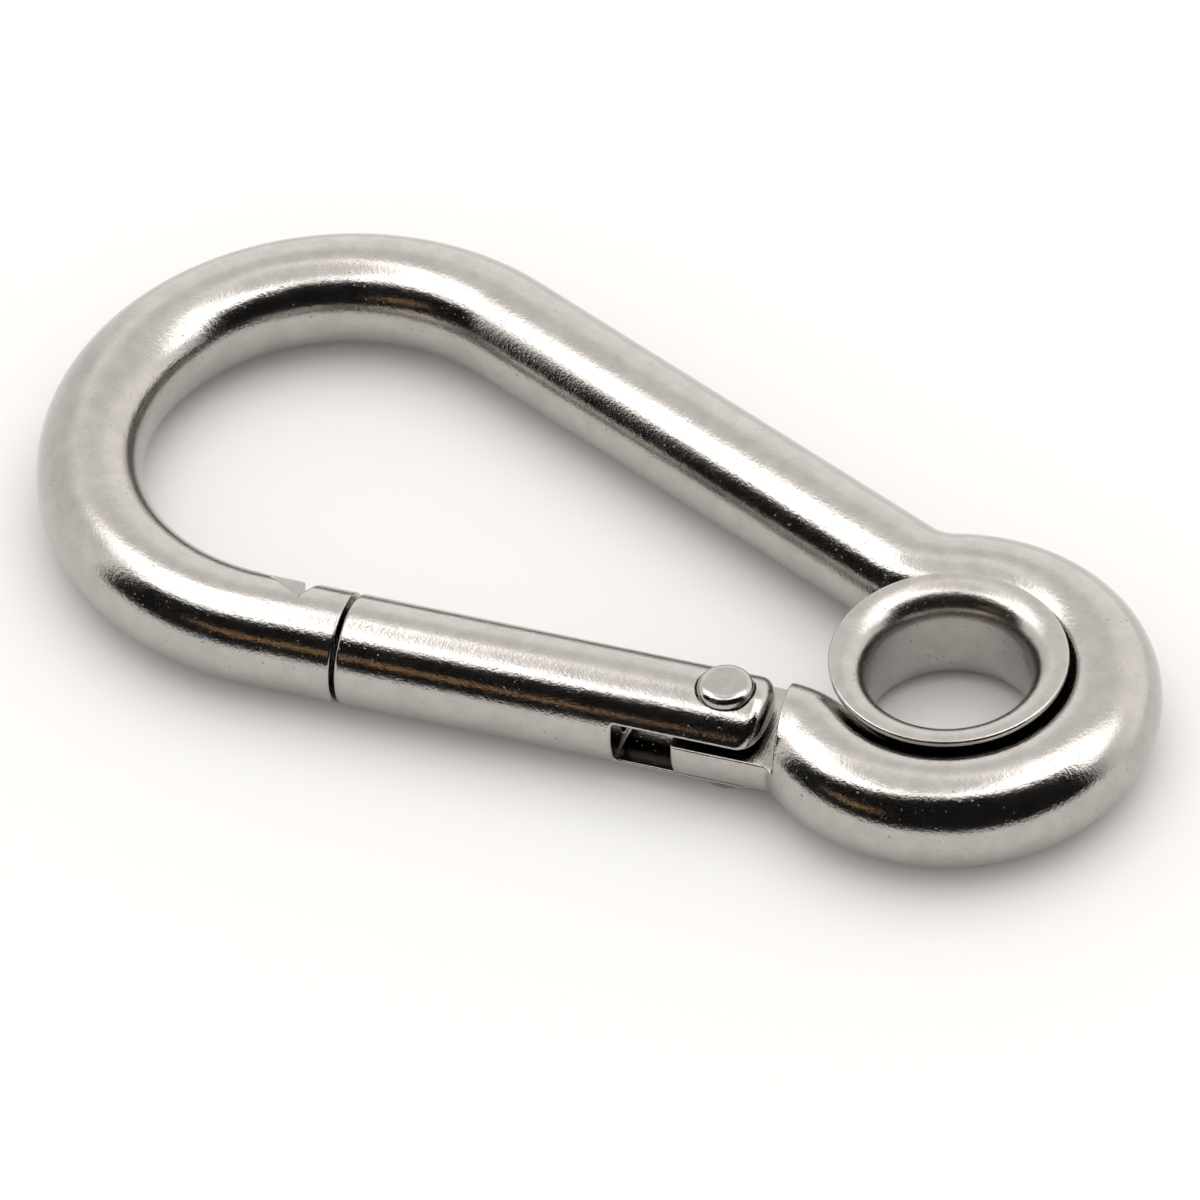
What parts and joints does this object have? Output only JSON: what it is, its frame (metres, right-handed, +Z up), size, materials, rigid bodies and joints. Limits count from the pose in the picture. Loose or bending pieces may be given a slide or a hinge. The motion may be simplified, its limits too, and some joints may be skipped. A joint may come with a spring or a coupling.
{
  "type": "snap hook",
  "caption": "Pear-shaped round-bar snap hook with a sprung, riveted gate that latches into the nose, and a flared eyelet turning loose in the eye.",
  "frame": {"origin": "under the middle of the whole hook, on the surface that it lies on", "axes": "+X from the bow to the eye, +Z up through the bar's thickness, the gate on the -Y side"},
  "size_m": [0.12, 0.06, 0.0122],
  "materials": {
    "tumbled_steel": "tumble-polished stainless steel, bright, with small pits and a slight ripple",
    "formed_steel": "pressed stainless steel, satin, with faint turning lines",
    "rivet_steel": "bright stainless steel",
    "spring_wire": "drawn stainless wire"
  },
  "bodies": {
    "hook": {"hook_body": "tumbled_steel"},
    "gate": {"gate": "tumbled_steel", "hinge_rivet": "rivet_steel", "gate_spring": "spring_wire"},
    "plunger": {"spring_plunger": "rivet_steel"},
    "eyelet": {"eyelet": "formed_steel"}
  },
  "joints": [
    {"name": "gate_hinge", "type": "hinge", "parent": "hook", "child": "gate", "pos_m": [0.0225, -0.01351, 0.0059], "axis": [0, 0, -1], "range_deg": [0, 40], "stiffness_Nm_per_rad": 0.2, "springref_deg": -28.65},
    {"name": "plunger_slide", "type": "slide", "parent": "gate", "child": "plunger", "axis": [-0.9768, -0.2143, 0], "range_m": [0, 0.0026], "deforming": ["gate_spring"]},
    {"name": "eyelet_spin", "type": "hinge", "parent": "hook", "child": "eyelet", "pos_m": [0.0395, 0, 0.0059], "axis": [0, 0, 1], "continuous": true}
  ],
  "couplings": [
    {"joint": "plunger_slide", "follows": "gate_hinge", "m_per_rad": 0.003724}
  ]
}
